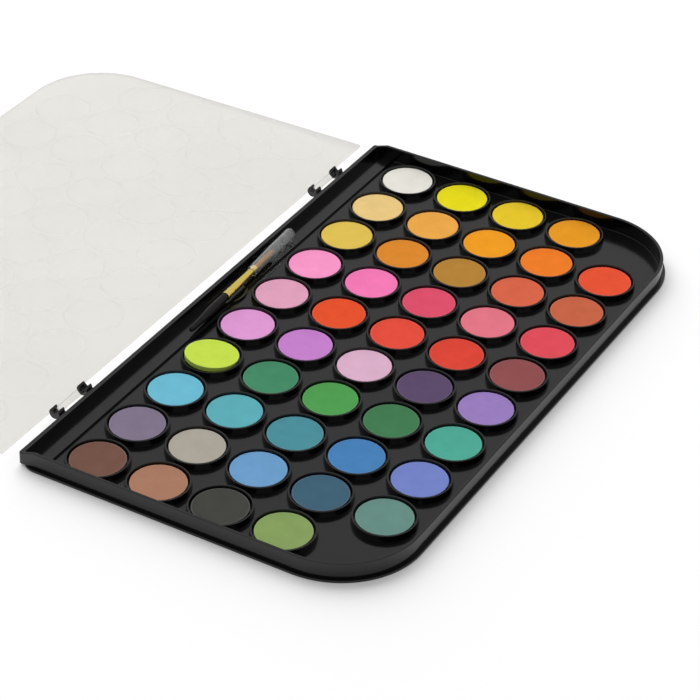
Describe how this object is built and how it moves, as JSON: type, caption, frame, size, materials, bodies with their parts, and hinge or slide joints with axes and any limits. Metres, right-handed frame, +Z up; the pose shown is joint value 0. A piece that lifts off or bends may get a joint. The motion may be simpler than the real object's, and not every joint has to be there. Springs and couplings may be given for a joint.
{
  "type": "watercolour paint box",
  "caption": "Flat black tray of round watercolour tablets with a clear hinged lid, a brush trough and a capped round brush.",
  "frame": {"origin": "middle of the base plate's underside, on the table", "axes": "+Z up, +Y towards the hinge, +X along the hinge towards the brush's tuft"},
  "size_m": [0.2988, 0.345, 0.0084],
  "materials": {
    "tray_black": "satin",
    "lid_clear": "glossy",
    "handle_black": "glossy",
    "ferrule_gold": "glossy",
    "tuft_hair": "matte",
    "cap_clear": "satin",
    "paint_white": "matte",
    "paint_lemon_yellow": "matte",
    "paint_golden_yellow": "matte",
    "paint_amber": "matte",
    "paint_naples_buff": "matte",
    "paint_light_orange": "matte",
    "paint_orange": "matte",
    "paint_deep_orange": "matte",
    "paint_red_orange": "matte",
    "paint_pale_ochre": "matte",
    "paint_brown_orange": "matte",
    "paint_olive_ochre": "matte",
    "paint_terracotta": "matte",
    "paint_brown_terracotta": "matte",
    "paint_candy_pink": "matte",
    "paint_hot_pink": "matte",
    "paint_crimson_pink": "matte",
    "paint_salmon_pink": "matte",
    "paint_crimson": "matte",
    "paint_mauve_pink": "matte",
    "paint_vermilion": "matte",
    "paint_red": "matte",
    "paint_deep_red": "matte",
    "paint_maroon": "matte",
    "paint_lilac_pink": "matte",
    "paint_orchid": "matte",
    "paint_pale_pink": "matte",
    "paint_dark_purple": "matte",
    "paint_lavender": "matte",
    "paint_lime": "matte",
    "paint_green": "matte",
    "paint_leaf_green": "matte",
    "paint_deep_green": "matte",
    "paint_mint": "matte",
    "paint_sky_blue": "matte",
    "paint_turquoise": "matte",
    "paint_teal": "matte",
    "paint_cobalt_blue": "matte",
    "paint_periwinkle": "matte",
    "paint_grey_violet": "matte",
    "paint_warm_grey": "matte",
    "paint_light_blue": "matte",
    "paint_petrol_blue": "matte",
    "paint_sea_green": "matte",
    "paint_dark_brown": "matte",
    "paint_light_brown": "matte",
    "paint_charcoal": "matte",
    "paint_olive_green": "matte"
  },
  "bodies": {
    "tray": {"tray": "tray_black", "tablet_white": "paint_white", "tablet_lemon_yellow": "paint_lemon_yellow", "tablet_golden_yellow": "paint_golden_yellow", "tablet_amber": "paint_amber", "tablet_naples_buff": "paint_naples_buff", "tablet_light_orange": "paint_light_orange", "tablet_orange": "paint_orange", "tablet_deep_orange": "paint_deep_orange", "tablet_red_orange": "paint_red_orange", "tablet_pale_ochre": "paint_pale_ochre", "tablet_brown_orange": "paint_brown_orange", "tablet_olive_ochre": "paint_olive_ochre", "tablet_terracotta": "paint_terracotta", "tablet_brown_terracotta": "paint_brown_terracotta", "tablet_candy_pink": "paint_candy_pink", "tablet_hot_pink": "paint_hot_pink", "tablet_crimson_pink": "paint_crimson_pink", "tablet_salmon_pink": "paint_salmon_pink", "tablet_crimson": "paint_crimson", "tablet_mauve_pink": "paint_mauve_pink", "tablet_vermilion": "paint_vermilion", "tablet_red": "paint_red", "tablet_deep_red": "paint_deep_red", "tablet_maroon": "paint_maroon", "tablet_lilac_pink": "paint_lilac_pink", "tablet_orchid": "paint_orchid", "tablet_pale_pink": "paint_pale_pink", "tablet_dark_purple": "paint_dark_purple", "tablet_lavender": "paint_lavender", "tablet_green": "paint_green", "tablet_leaf_green": "paint_leaf_green", "tablet_deep_green": "paint_deep_green", "tablet_mint": "paint_mint", "tablet_sky_blue": "paint_sky_blue", "tablet_turquoise": "paint_turquoise", "tablet_teal": "paint_teal", "tablet_cobalt_blue": "paint_cobalt_blue", "tablet_periwinkle": "paint_periwinkle", "tablet_grey_violet": "paint_grey_violet", "tablet_warm_grey": "paint_warm_grey", "tablet_light_blue": "paint_light_blue", "tablet_petrol_blue": "paint_petrol_blue", "tablet_sea_green": "paint_sea_green", "tablet_dark_brown": "paint_dark_brown", "tablet_light_brown": "paint_light_brown", "tablet_charcoal": "paint_charcoal", "tablet_olive_green": "paint_olive_green"},
    "lid": {"lid": "lid_clear"},
    "loose_tablet": {"tablet_lime": "paint_lime"},
    "brush": {"brush_handle": "handle_black", "brush_ferrule": "ferrule_gold", "brush_tuft": "tuft_hair"},
    "brush_cap": {"brush_cap": "cap_clear"}
  },
  "joints": [
    {"name": "lid_hinge", "type": "hinge", "parent": "tray", "child": "lid", "pos_m": [0, 0.0876, 0.006], "axis": [1, 0, 0], "range_deg": [0, 180.7]},
    {"name": "brush_lift", "type": "slide", "parent": "tray", "child": "brush", "axis": [0, 0, 1], "range_m": [0, 0.03]},
    {"name": "cap_pull", "type": "slide", "parent": "brush", "child": "brush_cap", "axis": [0.999, 0.0454, 0], "range_m": [0, 0.03]},
    {"name": "tablet_lift", "type": "slide", "parent": "tray", "child": "loose_tablet", "axis": [0, 0, 1], "range_m": [0, 0.02]}
  ]
}
